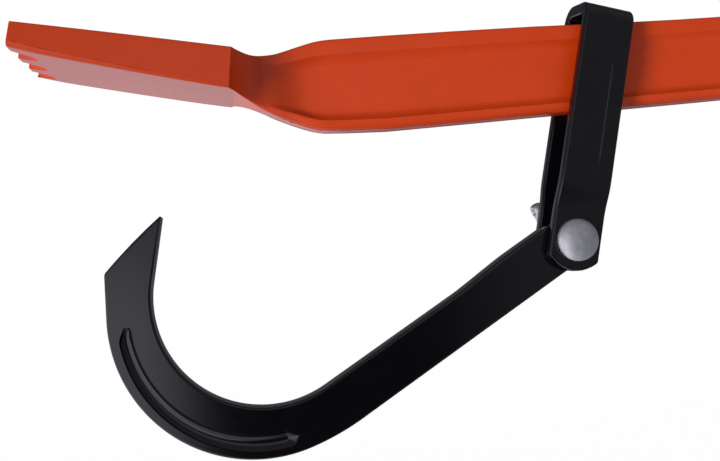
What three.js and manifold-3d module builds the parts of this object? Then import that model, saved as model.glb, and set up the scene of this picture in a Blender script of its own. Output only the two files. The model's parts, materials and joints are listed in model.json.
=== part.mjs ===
// Felling lever with a sliding stirrup strap and a swing hook for turning logs.
// Millimetres, +Z up. X runs along the bar from the blade to the grip, Y is the bar's thickness.
// Inside this file x = 0 is the blade's root and z = 0 is the bar's mid-height there.
// The finished group is moved so that its origin is the middle of the grip.
import * as THREE from 'three';
import { mergeVertices } from 'three/addons/utils/BufferGeometryUtils.js';
import Module from 'manifold-3d';

const wasm = await Module();
wasm.setup();

// Driving dimensions of the whole lever
const leverLength = 800;
const bladeLength = 78;
const neckLength = 36;
const gripLength = 140;

// Forged bar of I-section
const barHeight = 36.4;
const barHeightAtGrip = 31;
const barThickness = 11;
const barEdgeRadius = 3;
const recessDepth = 2.4;
const flangeHeight = 4.2;
const recessSlope = 3.4;
const recessStartLength = 30;
const recessEndLength = 30;
const recessEndPlace = 30;

// Blade, which rises from its root to its toothed tip
const bladeTipWidth = 45.6;
const bladeRootWidth = 32.6;
const bladeTipThickness = 9.4;
const bladeRootThickness = 15.3;
const bladeRise = 18.7;
const bladeRootDrop = 1;
const bladeEdgeRadius = 1.2;
const bladeEndLean = 2.2;
const bladeHeelRadius = 2.4;
const shoulderLength = 12;
const toothCount = 4;
const toothGrooveLength = 9.5;
const toothGrooveRadius = 4.4;

// Stirrup strap, a flat bar bent into a U over the lever bar
const strapWidth = 20;
const strapThickness = 4.5;
const strapReach = 101.6;
const strapSideClearance = 2;
const strapEndMargin = 2.3;
const strapEdgeRadius = 0.7;
const joggleStart = 24;
const joggleEnd = 12;
const strapTilt = THREE.MathUtils.degToRad(15.7);
const strapPlace = 130.2;

// Log hook, flat in the plane of the bar
const hookThickness = 10;
const hookSideClearance = 0.5;
const armLength = 115;
const armRise = 8.4;
const armDrop = 8.2;
const eyeRadius = 10.6;
const eyeLength = 26;
const eyeBlendLength = 24;
const bowlInnerRadius = 43.3;
const bowlOuterRadius = 56.7;
const bowlOuterShift = 5;
const bowlInnerEnd = THREE.MathUtils.degToRad(140.9);
const bowlOuterEnd = THREE.MathUtils.degToRad(149.5);
const pointLength = 26.8;
const cheekLength = 17.7;
const hookEdgeRadius = 1.4;
const grooveRadius = 50;
const grooveWidth = 4.8;
const grooveDepth = 1.3;
const grooveStart = THREE.MathUtils.degToRad(154);
const grooveFinish = THREE.MathUtils.degToRad(249);
const hookAngle = THREE.MathUtils.degToRad(28.2);

// Pivot pin with a domed head, washer and split pin
const pinDiameter = 11;
const pinHeadDiameter = 17.2;
const pinHeadHeight = 4.4;
const pinHeadRim = 1.1;
const pinBoreClearance = 0.3;
const pinTailLength = 6;
const pinChamfer = 1;
const washerDiameter = 19;
const washerThickness = 2;
const splitPinWidth = 4.8;
const splitPinThickness = 2.2;
const splitPinHoleClearance = 0.6;
const splitPinReach = 18.8;
const splitPinNeckLength = 3.2;
const splitPinEyeWidth = 6.8;
const splitPinProngLength = 4.6;
const splitPinSpread = 2.8;
const splitPinAngle = THREE.MathUtils.degToRad(109);

// Grip sleeve on the far end of the bar
const gripWall = 4.2;
const gripSideWall = 6.3;
const gripSwell = 2.2;
const gripEndWall = 6;
const gripCornerRadius = 9;

// Clearance between pieces that touch or are cut to fit, and how far a cut runs past what it cuts
const seatGap = 0.3;
const cutOverrun = 5;

// Steps round the curved shapes
const roundSides = 32;
const bowlSteps = 20;
const bendSteps = 12;
const wireSides = 10;
const wireSteps = 36;
const grooveSides = 12;
const domeSteps = 5;
const cornerSteps = 3;
const sleeveCornerSteps = 4;

// Sizes worked out from the ones above
const barTop = barHeight / 2;
const leverEnd = leverLength - bladeLength;
const gripStart = leverEnd - gripLength;
const barEnd = leverEnd - gripEndWall;
const gripMiddle = leverEnd - gripLength / 2;
const gripAxis = barTop - barHeightAtGrip / 2;
const recessEnd = gripStart - recessEndPlace;
const bendInnerRadius = barThickness / 2 + strapSideClearance;
const bendOuterRadius = bendInnerRadius + strapThickness;
const footInner = hookThickness / 2 + hookSideClearance;
const footOuter = footInner + strapThickness;
const boreRadius = pinDiameter / 2 + pinBoreClearance;
const footRadius = strapWidth / 2 + strapEndMargin;

// The strap's right-hand edge bears on the bar's rounded top corners
const cornerInset = barThickness / 2 - barEdgeRadius;
const cornerReach = bendInnerRadius - barEdgeRadius - seatGap;
const bendLift = bendInnerRadius - barEdgeRadius - Math.sqrt(cornerReach ** 2 - cornerInset ** 2);
const bendInside = strapReach - strapThickness;
const pinHeight = barTop + bendLift - bendInside * Math.cos(strapTilt)
  + (strapWidth / 2) * Math.sin(strapTilt);
const pinPoint = new THREE.Vector3(strapPlace, 0, pinHeight);

// Closed mesh to solid and back
const mergeShare = 1e-4;
function toSolid(geometry) {
  const plain = geometry.index ? geometry.toNonIndexed() : geometry.clone();
  plain.deleteAttribute('normal');
  plain.deleteAttribute('uv');
  const merged = mergeVertices(plain, seatGap * mergeShare);
  const vertProperties = new Float32Array(merged.attributes.position.array);
  const triVerts = new Uint32Array(merged.index.array);
  return new wasm.Manifold(new wasm.Mesh({ numProp: 3, vertProperties, triVerts }));
}

function toGeometry(solid) {
  const mesh = solid.getMesh();
  const geometry = new THREE.BufferGeometry();
  geometry.setAttribute('position', new THREE.BufferAttribute(mesh.vertProperties, 3));
  geometry.setIndex(new THREE.BufferAttribute(mesh.triVerts, 1));
  return geometry;
}

// Skin over rings of equal point counts, closed by a fan at each end
function loft(rings) {
  const count = rings[0].length;
  const points = rings.flat();
  const faces = [];
  for (let r = 0; r + 1 < rings.length; r += 1) {
    for (let i = 0; i < count; i += 1) {
      const a = r * count + i;
      const b = r * count + ((i + 1) % count);
      faces.push(a, a + count, b, b, a + count, b + count);
    }
  }
  const ends = [[rings[0], 0, false], [rings[rings.length - 1], (rings.length - 1) * count, true]];
  for (const [ring, first, last] of ends) {
    const middle = ring.reduce((sum, p) => sum.add(p), new THREE.Vector3()).divideScalar(count);
    points.push(middle);
    for (let i = 0; i < count; i += 1) {
      const a = first + i;
      const b = first + ((i + 1) % count);
      faces.push(points.length - 1, last ? b : a, last ? a : b);
    }
  }
  const geometry = new THREE.BufferGeometry();
  const places = points.flatMap((p) => [p.x, p.y, p.z]);
  geometry.setAttribute('position', new THREE.Float32BufferAttribute(places, 3));
  geometry.setIndex(faces);
  return geometry;
}

// Value at x on a smooth curve through [x, value] pairs
function smoothCurve(pairs) {
  const slopes = pairs.map((pair, i) => {
    if (i === 0 || i === pairs.length - 1) return 0;
    return (pairs[i + 1][1] - pairs[i - 1][1]) / (pairs[i + 1][0] - pairs[i - 1][0]);
  });
  slopes[0] = (pairs[1][1] - pairs[0][1]) / (pairs[1][0] - pairs[0][0]);
  return (x) => {
    if (x <= pairs[0][0]) return pairs[0][1];
    for (let i = 0; i + 1 < pairs.length; i += 1) {
      const [x0, y0] = pairs[i];
      const [x1, y1] = pairs[i + 1];
      if (x <= x1) {
        const t = (x - x0) / (x1 - x0);
        const h = x1 - x0;
        return y0 * (1 + 2 * t) * (1 - t) ** 2 + slopes[i] * h * t * (1 - t) ** 2
          + y1 * t * t * (3 - 2 * t) - slopes[i + 1] * h * t * t * (1 - t);
      }
    }
    return pairs[pairs.length - 1][1];
  };
}

// Side profile of the lever: the blade is straight, the neck curves, and the bar tapers from below
const bladeRootTop = bladeRootThickness - bladeRootDrop;
const bladeTipTop = bladeRise - bladeRootDrop + bladeTipThickness;
const bladeTipBottom = bladeRise - bladeRootDrop;
const neckTopEndShare = 1.15;
const neckTopShares = [[0.16, 0.99], [0.34, 0.935], [0.5, 0.955], [0.75, 1.12], [0.95, 1.24]];
const neckBottomShares = [
  [0.12, 0.16], [0.28, 0.39], [0.42, 0.57], [0.56, 0.71], [0.7, 0.835], [0.85, 0.95],
];
const neckTop = smoothCurve([
  [0, bladeRootTop],
  ...neckTopShares.map(([along, up]) => [along * neckLength, up * bladeRootTop]),
  [neckTopEndShare * neckLength, barTop],
]);
const neckDrop = barTop - bladeRootDrop;
const neckBottom = smoothCurve([
  [0, -bladeRootDrop],
  ...neckBottomShares.map(([along, down]) => [along * neckLength, -bladeRootDrop - down * neckDrop]),
  [neckLength, -barTop],
]);
function topAt(x) {
  if (x < 0) return THREE.MathUtils.lerp(bladeRootTop, bladeTipTop, -x / bladeLength);
  return neckTop(x);
}
function bottomAt(x) {
  if (x < 0) return THREE.MathUtils.lerp(-bladeRootDrop, bladeTipBottom, -x / bladeLength);
  if (x < neckLength) return neckBottom(x);
  const along = Math.min((x - neckLength) / (gripStart - neckLength), 1);
  return THREE.MathUtils.lerp(-barTop, barTop - barHeightAtGrip, along);
}

// Half widths: the blade tapers, a fillet takes its shoulder down to the bar
function halfWidthAt(x) {
  if (x <= 0) return THREE.MathUtils.lerp(bladeRootWidth, bladeTipWidth, -x / bladeLength) / 2;
  const step = (bladeRootWidth - barThickness) / 2;
  const back = Math.max(1 - x / shoulderLength, 0);
  return bladeRootWidth / 2 - step * Math.sqrt(1 - back ** 2);
}

// How far the recess has reached its full depth, from none at the shoulder to all along the bar
function recessShareAt(x) {
  const start = THREE.MathUtils.smoothstep(x, shoulderLength, shoulderLength + recessStartLength);
  const finish = THREE.MathUtils.smoothstep(x, recessEnd - recessEndLength, recessEnd);
  return start * (1 - finish);
}

// One ring of the lever, walked from the top round the +Y side, the bottom and the -Y side
const lipShare = 1.1;
function leverRing(x) {
  const top = topAt(x);
  const bottom = bottomAt(x);
  const half = halfWidthAt(x);
  const height = top - bottom;
  const onBar = Math.min(Math.max(x / shoulderLength, 0), 1);
  const radius = THREE.MathUtils.lerp(bladeEdgeRadius, barEdgeRadius, onBar);
  const lip = Math.max(flangeHeight * (height / barHeight), radius * lipShare);
  const slope = recessSlope * (height / barHeight);
  const web = half - recessDepth * recessShareAt(x);
  const side = [];
  for (let i = 0; i <= cornerSteps; i += 1) {
    const turn = (i / cornerSteps) * (Math.PI / 2);
    side.push([half - radius + radius * Math.sin(turn), radius * (1 - Math.cos(turn))]);
  }
  side.push([half, lip]);
  side.push([web, lip + slope]);
  const upper = side.map(([y, down]) => [y, top - down]);
  const lower = side.map(([y, up]) => [y, bottom + up]).reverse();
  const right = [...upper, ...lower];
  const left = right.map(([y, z]) => [-y, z]).reverse();
  return [...right, ...left].map(([y, z]) => new THREE.Vector3(x, y, z));
}

// Stations along the lever, close together where its shape changes
function leverStations() {
  const stations = [-bladeLength - cutOverrun, -bladeLength / 2];
  const shoulderShares = [0, 0.01, 0.04, 0.1, 0.2, 0.34, 0.5, 0.7, 1];
  stations.push(...shoulderShares.map((share) => share * shoulderLength));
  const neckShares = [0.42, 0.52, 0.62, 0.72, 0.82, 0.9, 1, 1.08, 1.15, 1.3];
  stations.push(...neckShares.map((share) => share * neckLength));
  stations.push((neckLength + gripStart) / 2);
  const fadeShares = [1, 0.75, 0.5, 0.25, 0];
  stations.push(...fadeShares.map((share) => recessEnd - share * recessEndLength));
  stations.push(gripStart, barEnd);
  return stations;
}

// A side outline, drawn in X and Z, as a slab that runs across Y
function slabAcross(outline, width) {
  const slab = new THREE.ExtrudeGeometry(outline, {
    depth: width, bevelEnabled: false, curveSegments: domeSteps,
  });
  slab.rotateX(Math.PI / 2);
  slab.translate(0, width / 2, 0);
  return slab;
}

function makeLeverBar() {
  const body = toSolid(loft(leverStations().map(leverRing)));
  // The end is square to the blade, with a rounded heel under it
  const outline = new THREE.Shape();
  const beyond = leverLength + cutOverrun;
  const tipTop = bladeTipTop + 2 * cutOverrun;
  const heelX = -bladeLength + bladeHeelRadius;
  const endSlope = bladeEndLean / bladeTipThickness;
  outline.moveTo(-bladeLength + endSlope * (tipTop - bladeTipBottom), tipTop);
  outline.lineTo(-bladeLength, bladeTipBottom + bladeHeelRadius);
  outline.quadraticCurveTo(-bladeLength, bladeTipBottom, heelX, bottomAt(heelX));
  outline.lineTo(heelX, -barHeight);
  outline.lineTo(beyond, -barHeight);
  outline.lineTo(beyond, tipTop);
  let lever = body.intersect(toSolid(slabAcross(outline, 2 * bladeTipWidth)));
  // Grooves run back under the tip between its teeth and fade out
  const rise = Math.atan2(bladeRise, bladeLength);
  const coneLength = toothGrooveLength + bladeHeelRadius;
  for (let i = 1; i < toothCount; i += 1) {
    const groove = new THREE.ConeGeometry(toothGrooveRadius, coneLength, grooveSides);
    groove.translate(0, -coneLength / 2, 0);
    groove.rotateZ(-Math.PI / 2);
    groove.rotateY(rise);
    const apexX = -bladeLength + toothGrooveLength;
    groove.translate(apexX, (i / toothCount - 0.5) * bladeTipWidth, bottomAt(apexX));
    lever = lever.subtract(toSolid(groove));
  }
  return lever;
}

// Places a shape drawn in the strap's own directions: along the strap and across its width
const strapAlong = new THREE.Vector3(Math.sin(strapTilt), 0, Math.cos(strapTilt));
const strapAcross = new THREE.Vector3(Math.cos(strapTilt), 0, -Math.sin(strapTilt));
const thickness = new THREE.Vector3(0, 1, 0);

function pinBore(length) {
  const bore = new THREE.CylinderGeometry(boreRadius, boreRadius, length, roundSides);
  bore.translate(pinPoint.x, pinPoint.y, pinPoint.z);
  return toSolid(bore);
}

function makeStirrupStrap() {
  const bendCentre = strapReach - bendOuterRadius;
  const toe = -footRadius - cutOverrun;
  const section = new THREE.Shape();
  section.moveTo(footOuter, toe);
  section.lineTo(footOuter, joggleEnd);
  section.lineTo(bendOuterRadius, joggleStart);
  section.absarc(0, bendCentre, bendOuterRadius, 0, Math.PI, false);
  section.lineTo(-bendOuterRadius, joggleStart);
  section.lineTo(-footOuter, joggleEnd);
  section.lineTo(-footOuter, toe);
  section.lineTo(-footInner, toe);
  section.lineTo(-footInner, joggleEnd);
  section.lineTo(-bendInnerRadius, joggleStart);
  section.absarc(0, bendCentre, bendInnerRadius, Math.PI, 0, true);
  section.lineTo(footInner, joggleEnd);
  section.lineTo(footInner, toe);
  const bent = new THREE.ExtrudeGeometry(section, {
    depth: strapWidth - 2 * strapEdgeRadius,
    curveSegments: bendSteps,
    bevelThickness: strapEdgeRadius,
    bevelSize: strapEdgeRadius,
    bevelOffset: -strapEdgeRadius,
    bevelSegments: 1,
  });
  bent.translate(0, 0, -strapWidth / 2 + strapEdgeRadius);
  bent.applyMatrix4(new THREE.Matrix4().makeBasis(thickness, strapAlong, strapAcross));
  bent.translate(pinPoint.x, pinPoint.y, pinPoint.z);
  // Both feet end in an arc about the pin, with a corner where it meets the straight edges
  const footAngle = Math.acos(strapWidth / 2 / footRadius);
  const tongue = new THREE.Shape();
  tongue.moveTo(strapWidth, strapReach + cutOverrun);
  tongue.lineTo(-strapWidth, strapReach + cutOverrun);
  tongue.lineTo(-strapWidth, -footRadius * Math.sin(footAngle));
  tongue.lineTo(-strapWidth / 2, -footRadius * Math.sin(footAngle));
  tongue.absarc(0, 0, footRadius, Math.PI + footAngle, 2 * Math.PI - footAngle, false);
  tongue.lineTo(strapWidth, -footRadius * Math.sin(footAngle));
  const width = 2 * (bendOuterRadius + cutOverrun);
  const trim = new THREE.ExtrudeGeometry(tongue, {
    depth: width, bevelEnabled: false, curveSegments: bendSteps,
  });
  trim.translate(0, 0, -width / 2);
  const back = thickness.clone().negate();
  trim.applyMatrix4(new THREE.Matrix4().makeBasis(strapAcross, strapAlong, back));
  trim.translate(pinPoint.x, pinPoint.y, pinPoint.z);
  return toSolid(bent).intersect(toSolid(trim)).subtract(pinBore(width));
}

// The hook is drawn with its arm level and the pin at the origin, bowl towards -X
function hookOutline() {
  const innerX = -armLength;
  const innerY = armRise + bowlInnerRadius;
  const outerX = -armLength - bowlOuterShift;
  const outerY = bowlOuterRadius - armDrop;
  // The straight stretches run on from the ends of the two arcs to the point and to the cheek behind it
  const runOn = (cx, cy, radius, angle, length) => [
    cx + radius * Math.cos(angle) + length * Math.sin(angle),
    cy + radius * Math.sin(angle) - length * Math.cos(angle),
  ];
  const point = runOn(innerX, innerY, bowlInnerRadius, bowlInnerEnd, pointLength);
  const cheek = runOn(outerX, outerY, bowlOuterRadius, bowlOuterEnd, cheekLength);
  const eyeTop = Math.sqrt(eyeRadius ** 2 - armDrop ** 2);
  const shape = new THREE.Shape();
  shape.moveTo(...point);
  shape.lineTo(...cheek);
  shape.absarc(outerX, outerY, bowlOuterRadius, bowlOuterEnd, 1.5 * Math.PI, false);
  shape.lineTo(-eyeTop, -armDrop);
  shape.absarc(0, 0, eyeRadius, Math.atan2(-armDrop, -eyeTop), Math.PI / 2, false);
  shape.lineTo(-eyeLength, eyeRadius);
  shape.lineTo(-eyeLength - eyeBlendLength, armRise);
  shape.lineTo(innerX, armRise);
  shape.absarc(innerX, innerY, bowlInnerRadius, 1.5 * Math.PI, bowlInnerEnd, true);
  return shape;
}

// The stamped groove follows the bowl's outer edge and has round ends
function grooveOutline(width) {
  const cx = -armLength - bowlOuterShift;
  const cy = bowlOuterRadius - armDrop;
  const shape = new THREE.Shape();
  const endAt = (angle) => [cx + grooveRadius * Math.cos(angle), cy + grooveRadius * Math.sin(angle)];
  const [startX, startY] = endAt(grooveStart);
  const [finishX, finishY] = endAt(grooveFinish);
  shape.absarc(cx, cy, grooveRadius + width / 2, grooveStart, grooveFinish, false);
  shape.absarc(finishX, finishY, width / 2, grooveFinish, grooveFinish + Math.PI, false);
  shape.absarc(cx, cy, grooveRadius - width / 2, grooveFinish, grooveStart, true);
  shape.absarc(startX, startY, width / 2, grooveStart + Math.PI, grooveStart + 2 * Math.PI, false);
  return shape;
}

function makeLogHook() {
  const plate = new THREE.ExtrudeGeometry(hookOutline(), {
    depth: hookThickness - 2 * hookEdgeRadius,
    curveSegments: bowlSteps,
    bevelThickness: hookEdgeRadius,
    bevelSize: hookEdgeRadius,
    bevelOffset: -hookEdgeRadius,
    bevelSegments: 1,
  });
  plate.translate(0, 0, hookEdgeRadius - hookThickness / 2);
  let hook = toSolid(plate);
  // The same groove is sunk into both faces
  const depth = grooveDepth + cutOverrun;
  const floor = hookThickness / 2 - grooveDepth;
  for (const lowest of [floor, -floor - depth]) {
    const groove = new THREE.ExtrudeGeometry(grooveOutline(grooveWidth), {
      depth, bevelEnabled: false, curveSegments: bendSteps,
    });
    groove.translate(0, 0, lowest);
    hook = hook.subtract(toSolid(groove));
  }
  const placed = toGeometry(hook);
  placed.rotateX(Math.PI / 2);
  placed.rotateY(-hookAngle);
  placed.translate(pinPoint.x, pinPoint.y, pinPoint.z);
  return toSolid(placed).subtract(pinBore(2 * hookThickness));
}

// The split pin's two legs press on each other, so that together they are a little under two legs thick
const pairShare = 0.95;

// Places along the pin, from its head in front of the near strap leg to its tail behind the far one
const headSeat = -footOuter - seatGap;
const washerNear = footOuter + seatGap;
const washerFar = washerNear + washerThickness;
const splitPinPlace = washerFar + seatGap + splitPinThickness;
const tailEnd = splitPinPlace + pinTailLength;
const splitPinHalfPair = splitPinThickness * pairShare;

function turned(profile) {
  const geometry = new THREE.LatheGeometry(profile.map(([r, y]) => new THREE.Vector2(r, y)), roundSides);
  geometry.translate(pinPoint.x, pinPoint.y, pinPoint.z);
  return toSolid(geometry);
}

function makePivotPin() {
  const profile = [[0, headSeat - pinHeadHeight]];
  for (let i = 1; i <= domeSteps; i += 1) {
    const turn = (i / domeSteps) * (Math.PI / 2);
    const rise = (pinHeadHeight - pinHeadRim) * Math.cos(turn);
    profile.push([(pinHeadDiameter / 2) * Math.sin(turn), headSeat - pinHeadRim - rise]);
  }
  profile.push([pinHeadDiameter / 2, headSeat]);
  profile.push([pinDiameter / 2, headSeat]);
  profile.push([pinDiameter / 2, tailEnd - pinChamfer]);
  profile.push([pinDiameter / 2 - pinChamfer, tailEnd]);
  profile.push([0, tailEnd]);
  const holeRadius = splitPinWidth / 2 + splitPinHoleClearance;
  const hole = new THREE.CylinderGeometry(holeRadius, holeRadius, 2 * pinDiameter, roundSides / 2);
  placeAlongSplitPin(hole);
  return turned(profile).subtract(toSolid(hole));
}

function makePivotWasher() {
  const inner = boreRadius;
  const outer = washerDiameter / 2;
  const front = [[inner, washerNear], [outer, washerNear]];
  const rear = [[outer, washerFar], [inner, washerFar]];
  return turned([...front, ...rear, front[0]]);
}

// Turns a piece drawn along Y into the split pin's direction, with its X along the pivot pin
function placeAlongSplitPin(geometry) {
  geometry.rotateY(Math.PI / 2);
  geometry.rotateX(Math.PI / 2);
  geometry.rotateY(Math.PI / 2 - splitPinAngle);
  geometry.translate(pinPoint.x, splitPinPlace, pinPoint.z);
}

// Half of the split pin, which is flat wire: a prong, a straight leg and half of the eye.
// Only the outer prong is bent away, and the inner one stays straight beside the washer.
const eyeCurveShares = { neck: 0.7, flank: 0.5, crown: 0.9 };
function splitPinHalf(side) {
  const halfWire = splitPinThickness / 2;
  const offset = side * (splitPinHalfPair - halfWire);
  const flank = side * (splitPinEyeWidth / 2 - halfWire);
  const crown = splitPinReach - halfWire;
  const eyeCentre = splitPinReach - splitPinEyeWidth / 2;
  const eyeStart = eyeCentre - splitPinNeckLength;
  const prongStart = -pinDiameter / 2 - seatGap;
  const spread = side > 0 ? splitPinSpread : 0;
  const at = (across, along) => new THREE.Vector3(across, along, 0);
  const path = new THREE.CurvePath();
  path.add(new THREE.QuadraticBezierCurve3(
    at(offset + spread, prongStart - splitPinProngLength),
    at(offset, prongStart - splitPinProngLength / 2),
    at(offset, prongStart),
  ));
  path.add(new THREE.LineCurve3(at(offset, prongStart), at(offset, eyeStart)));
  path.add(new THREE.CubicBezierCurve3(
    at(offset, eyeStart),
    at(offset, eyeStart + eyeCurveShares.neck * splitPinNeckLength),
    at(flank, eyeCentre - eyeCurveShares.flank * splitPinNeckLength),
    at(flank, eyeCentre),
  ));
  path.add(new THREE.CubicBezierCurve3(
    at(flank, eyeCentre),
    at(flank, THREE.MathUtils.lerp(eyeCentre, crown, eyeCurveShares.crown)),
    at(side * halfWire, crown),
    at(-offset, crown),
  ));
  const section = new THREE.Shape();
  section.absellipse(0, 0, splitPinWidth / 2, halfWire, 0, 2 * Math.PI, false);
  const half = new THREE.ExtrudeGeometry(section, {
    extrudePath: path, steps: wireSteps, curveSegments: wireSides / 2,
  });
  placeAlongSplitPin(half);
  return toSolid(half);
}

function makeSplitPin() {
  return splitPinHalf(1).add(splitPinHalf(-1));
}

// Rounded rectangle round the bar, for the sleeve's outside and its bore
function sleeveRing(x, height, width, radius) {
  const ring = [];
  const corners = [[1, 1, 0], [1, -1, 1], [-1, -1, 2], [-1, 1, 3]];
  for (const [sy, sz, quarter] of corners) {
    for (let i = 0; i <= sleeveCornerSteps; i += 1) {
      const turn = (quarter + i / sleeveCornerSteps) * (Math.PI / 2);
      const y = sy * (width / 2 - radius) + radius * Math.sin(turn);
      const z = gripAxis + sz * (height / 2 - radius) + radius * Math.cos(turn);
      ring.push(new THREE.Vector3(x, y, z));
    }
  }
  return ring;
}

// Along the sleeve: a collar, a slim waist, a full palm and a flared, rounded end
const gripSwellShares = [
  [0, 0.4], [0.02, 1], [0.08, 1], [0.13, 0.1], [0.3, -0.1], [0.5, 0.3], [0.7, -0.1], [0.87, 0.2],
  [0.93, 1], [0.98, 0.9], [1, 0.1],
];
function makeHandleGrip() {
  const outer = gripSwellShares.map(([along, swell]) => sleeveRing(
    gripStart + along * gripLength,
    barHeightAtGrip + 2 * (gripWall + swell * gripSwell),
    barThickness + 2 * (gripSideWall + swell * gripSwell),
    gripCornerRadius,
  ));
  const boreRing = (x) => sleeveRing(
    x,
    barHeightAtGrip + 2 * seatGap,
    barThickness + 2 * seatGap,
    barEdgeRadius,
  );
  const bore = loft([boreRing(gripStart - cutOverrun), boreRing(barEnd + seatGap)]);
  return toSolid(loft(outer)).subtract(toSolid(bore));
}

// Finishes
const orangePaint = { color: 0xc2401a, roughness: 0.32, metalness: 0.0 };
const blackCoat = { color: 0x1a1a1c, roughness: 0.42, metalness: 0.0 };
const zincPlate = { color: 0xa8a8aa, roughness: 0.35, metalness: 1.0 };
const blackRubber = { color: 0x161617, roughness: 0.7, metalness: 0.0 };

const lever = new THREE.Group();
function addPiece(name, solid, finish) {
  const piece = new THREE.Mesh(toGeometry(solid), new THREE.MeshStandardMaterial(finish));
  piece.name = name;
  lever.add(piece);
}

addPiece('lever_bar', makeLeverBar(), orangePaint);
addPiece('handle_grip', makeHandleGrip(), blackRubber);
addPiece('stirrup_strap', makeStirrupStrap(), blackCoat);
addPiece('log_hook', makeLogHook(), blackCoat);
addPiece('pivot_pin', makePivotPin(), zincPlate);
addPiece('pivot_washer', makePivotWasher(), zincPlate);
addPiece('split_pin', makeSplitPin(), zincPlate);

lever.position.set(-gripMiddle, 0, -gripAxis);

export default lever;
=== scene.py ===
# Looks of a felling lever: forged orange bar, black stirrup strap and hook, zinc pin and rubber grip.
# Metres, in the part's frame: X runs along the bar from blade to grip, Z up, Y is the bar's thickness.
import json
import math

import bmesh
import bpy
from mathutils import Matrix, Vector


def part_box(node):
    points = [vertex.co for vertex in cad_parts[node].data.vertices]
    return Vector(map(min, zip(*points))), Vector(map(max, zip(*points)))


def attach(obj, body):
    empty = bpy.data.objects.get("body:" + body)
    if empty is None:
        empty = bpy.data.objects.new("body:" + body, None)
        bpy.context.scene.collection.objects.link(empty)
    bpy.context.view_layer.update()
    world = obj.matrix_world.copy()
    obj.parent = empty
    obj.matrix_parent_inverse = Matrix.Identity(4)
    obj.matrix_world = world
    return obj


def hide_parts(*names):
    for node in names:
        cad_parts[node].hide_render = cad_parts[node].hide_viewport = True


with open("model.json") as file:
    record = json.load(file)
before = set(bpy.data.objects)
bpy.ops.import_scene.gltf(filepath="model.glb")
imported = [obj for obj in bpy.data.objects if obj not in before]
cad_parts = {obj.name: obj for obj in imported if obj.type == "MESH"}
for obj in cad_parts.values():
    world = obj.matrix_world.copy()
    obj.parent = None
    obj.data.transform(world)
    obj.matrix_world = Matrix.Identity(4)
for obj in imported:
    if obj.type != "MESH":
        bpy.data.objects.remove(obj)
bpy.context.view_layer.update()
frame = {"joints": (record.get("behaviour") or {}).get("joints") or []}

MM = 0.001
QUARTER = math.pi / 2

# Places that the frame gives
BAR_LOW, BAR_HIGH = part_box("lever_bar")
GRIP_LOW, GRIP_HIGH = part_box("handle_grip")
PIN_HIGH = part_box("pivot_pin")[1]
PIVOT = Vector(next(j["pos_m"] for j in frame["joints"] if j["name"] == "hook_swing"))

# Bar of I-section
BAR_HEIGHT = 36.4 * MM
BAR_HEIGHT_AT_GRIP = 31 * MM
BAR_THICKNESS = 11 * MM
BAR_TOP_EDGE_RADIUS = 1 * MM
BAR_EDGE_RADIUS = 3.2 * MM
RECESS_DEPTH = 2.5 * MM
RECESS_SLOPE = 3.4 * MM
RECESS_EDGE = 0.1 * MM
RECESS_CURVE = 1.5
RECESS_START = 11 * MM
RECESS_START_LENGTH = 18 * MM
RECESS_END_LENGTH = 30 * MM
RECESS_END_PLACE = 30 * MM
UPPER_FLANGE_HEIGHT = 6.2 * MM
LOWER_FLANGE_HEIGHT = 3.6 * MM
FLANGE_LEAST_SHARE = 1.1
FLANGE_MIDDLE_SHARE = 0.6
RECESS_FIRST_SHARE = 0.02
RECESS_SECOND_SHARE = 0.1
WEB_POINT_SHARE = 0.25
TOP_POINT_SHARES = (0.02, 0.2, 0.4, 0.6, 0.8, 0.98)

# Neck and shoulder
NECK_LENGTH = 36 * MM
NECK_EDGE_SHARE = 0.7
NECK_TOP_END_SHARE = 1.15
NECK_TOP_SHARES = ((0.12, 0.962), (0.2, 0.938), (0.34, 0.93), (0.5, 0.955), (0.75, 1.12), (0.95, 1.24))
NECK_BOTTOM_SHARES = ((0.12, 0.16), (0.28, 0.39), (0.42, 0.57), (0.56, 0.71), (0.7, 0.835), (0.85, 0.95))
SHOULDER_START = -1.4 * MM
SHOULDER_LENGTH = 16 * MM
SHOULDER_SWEEP = 2.6
SHOULDER_LEAN = 0.15

# Blade
BLADE_LENGTH = 78 * MM
BLADE_TIP_WIDTH = 45.6 * MM
BLADE_ROOT_WIDTH = 34.2 * MM
BLADE_TIP_THICKNESS = 9.4 * MM
BLADE_ROOT_THICKNESS = 15.3 * MM
BLADE_RISE = 18.7 * MM
BLADE_ROOT_DROP = 1 * MM
BLADE_EDGE_RADIUS = 0.5 * MM
BLADE_TIP_EDGE_RADIUS = 2 * MM
BLADE_END_ROUNDING = 0.3 * MM
TOOTH_GROOVE_SHARES = (-0.362, -0.065, 0.245)
TOOTH_GROOVE_LENGTH = 8 * MM
TOOTH_GROOVE_RADIUS = 4.6 * MM
TOOTH_GROOVE_LEAST_RADIUS = 0.12 * MM
TOOTH_GROOVE_FLARE = 0.35
TOOTH_POINT_SHARES = (0.02, 0.35, 0.65, 0.97)
LAST_TOOTH_POINT_SHARES = (0.03, 0.35, 0.65, 0.98)

# How far the forging stands off the lines of blade, neck and bar: the place from the blade's root and the
# height, both in MM
TOP_SWELL = (
    (-78, 0.27), (-39, 0.35), (0, 0.15), (9, 0.05), (20, 0.2), (36, 0), (50, 0.07), (66, 0.2), (83, 0.2),
    (127, -0.06), (180, -1), (260, -0.85), (420, 0),
)
BOTTOM_SWELL = (
    (-78, -0.5), (-66, 0.24), (-20, 0.8), (-2, 0.6), (3, 0.15), (9, -0.4), (15, -0.65), (22, -0.55),
    (34, -0.5), (44, 0.2), (66, 1.25), (99, 1), (200, 0.9), (420, 0),
)

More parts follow.
